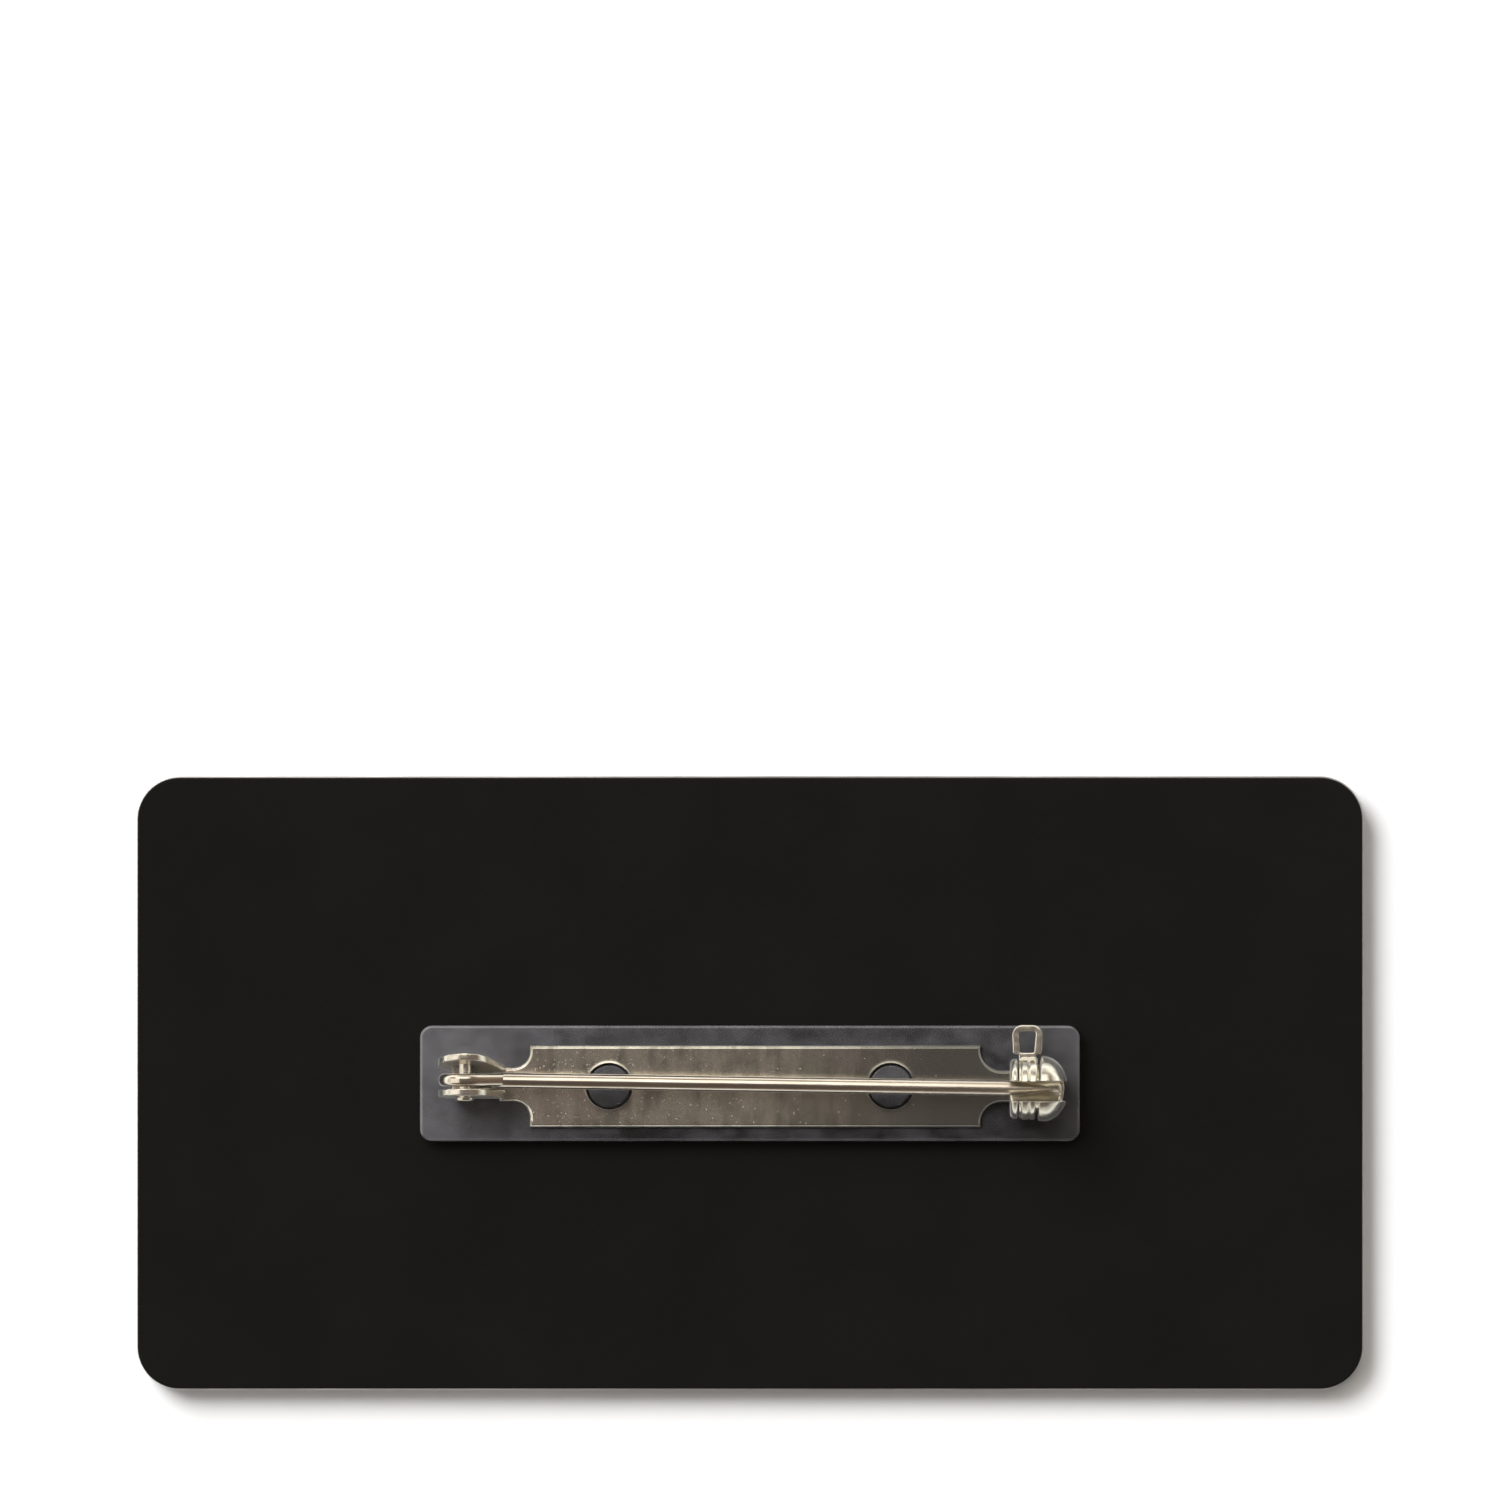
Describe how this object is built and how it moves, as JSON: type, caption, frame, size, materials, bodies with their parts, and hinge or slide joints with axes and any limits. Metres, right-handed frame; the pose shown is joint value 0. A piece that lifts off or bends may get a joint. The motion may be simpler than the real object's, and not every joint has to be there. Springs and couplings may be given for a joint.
{
  "type": "name badge",
  "caption": "Blank rectangular name badge with a brushed metal face, a black back and a bar pin with a locking catch on a clear adhesive pad, lying face down.",
  "frame": {"origin": "middle of the brushed face, which lies on the table", "axes": "+X along the badge from the pin's hinge to its catch, +Y across the badge towards the thumb loop, +Z out of the back, towards the pin"},
  "size_m": [0.076, 0.038, 0.0067],
  "materials": {
    "face_metal": "brushed along its length, satin",
    "core_plastic": "matte black",
    "clear_adhesive": "clear",
    "nickel_plate": "nickel plate, worn",
    "pin_steel": "polished wire"
  },
  "bodies": {
    "badge": {"face_sheet": "face_metal", "backing_core": "core_plastic", "adhesive_pad": "clear_adhesive", "pin_bar": "nickel_plate", "hinge_rivet": "nickel_plate"},
    "needle": {"pin_wire": "pin_steel"},
    "catch_lock": {"lock_sleeve": "nickel_plate"}
  },
  "joints": [
    {"name": "needle_hinge", "type": "hinge", "parent": "badge", "child": "needle", "pos_m": [-0.0176, 0.00027, 0.00475], "axis": [0, -1, 0], "range_deg": [0, 100]},
    {"name": "lock_turn", "type": "hinge", "parent": "badge", "child": "catch_lock", "pos_m": [0.01712, -0.00028, 0.00475], "axis": [1, 0, 0], "range_deg": [0, 95]}
  ]
}
